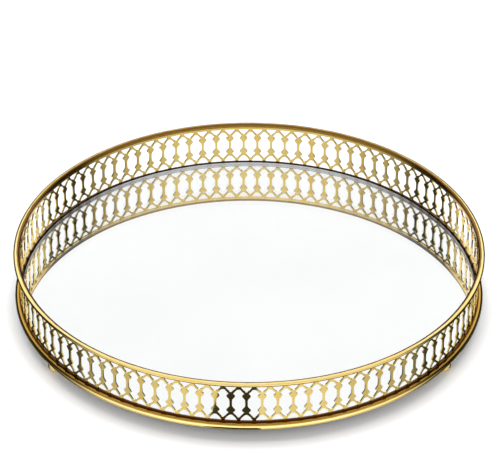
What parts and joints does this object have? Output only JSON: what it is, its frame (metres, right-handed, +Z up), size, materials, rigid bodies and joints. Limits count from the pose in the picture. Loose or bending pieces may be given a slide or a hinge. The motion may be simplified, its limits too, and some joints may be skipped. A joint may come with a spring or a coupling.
{
  "type": "vanity tray",
  "caption": "Round mirrored vanity tray with a pierced gold-tone metal gallery, capped rim, moulded base and ball feet.",
  "frame": {"origin": "under the tray's centre, on the surface that its three ball feet stand on", "axes": "+Z up; the front, with two feet, faces -Y, and the third foot is at +Y"},
  "size_m": [0.33, 0.33, 0.048],
  "materials": {
    "gallery_gilt": "polished gold plating",
    "rim_gilt": "polished gold plating",
    "base_gilt": "polished gold plating",
    "foot_gilt": "polished gold plating",
    "pan_metal": "dull zinc-plated sheet",
    "mirror_glass": "clear polished float glass with a ground edge",
    "silvering": "silvering with grey backing paint underneath",
    "foam_tape": "white foam",
    "screw_steel": "zinc plated"
  },
  "bodies": {
    "root": {"gallery_panel_01": "gallery_gilt", "gallery_panel_02": "gallery_gilt", "gallery_panel_03": "gallery_gilt", "gallery_panel_04": "gallery_gilt", "gallery_panel_05": "gallery_gilt", "gallery_panel_06": "gallery_gilt", "gallery_panel_07": "gallery_gilt", "gallery_panel_08": "gallery_gilt", "gallery_panel_09": "gallery_gilt", "gallery_panel_10": "gallery_gilt", "gallery_panel_11": "gallery_gilt", "gallery_panel_12": "gallery_gilt", "gallery_panel_13": "gallery_gilt", "gallery_panel_14": "gallery_gilt", "rim_cap_rail": "rim_gilt", "base_moulding": "base_gilt", "base_pan": "pan_metal", "mirror_glass": "mirror_glass", "mirror_silvering": "silvering", "foam_tape_pad_1": "foam_tape", "foam_tape_pad_2": "foam_tape", "foam_tape_pad_3": "foam_tape", "foam_tape_pad_4": "foam_tape", "foam_tape_pad_5": "foam_tape", "foam_tape_pad_6": "foam_tape", "ball_foot_front_left": "foot_gilt", "foot_screw_front_left": "screw_steel", "ball_foot_front_right": "foot_gilt", "foot_screw_front_right": "screw_steel", "ball_foot_back": "foot_gilt", "foot_screw_back": "screw_steel"}
  },
  "joints": []
}
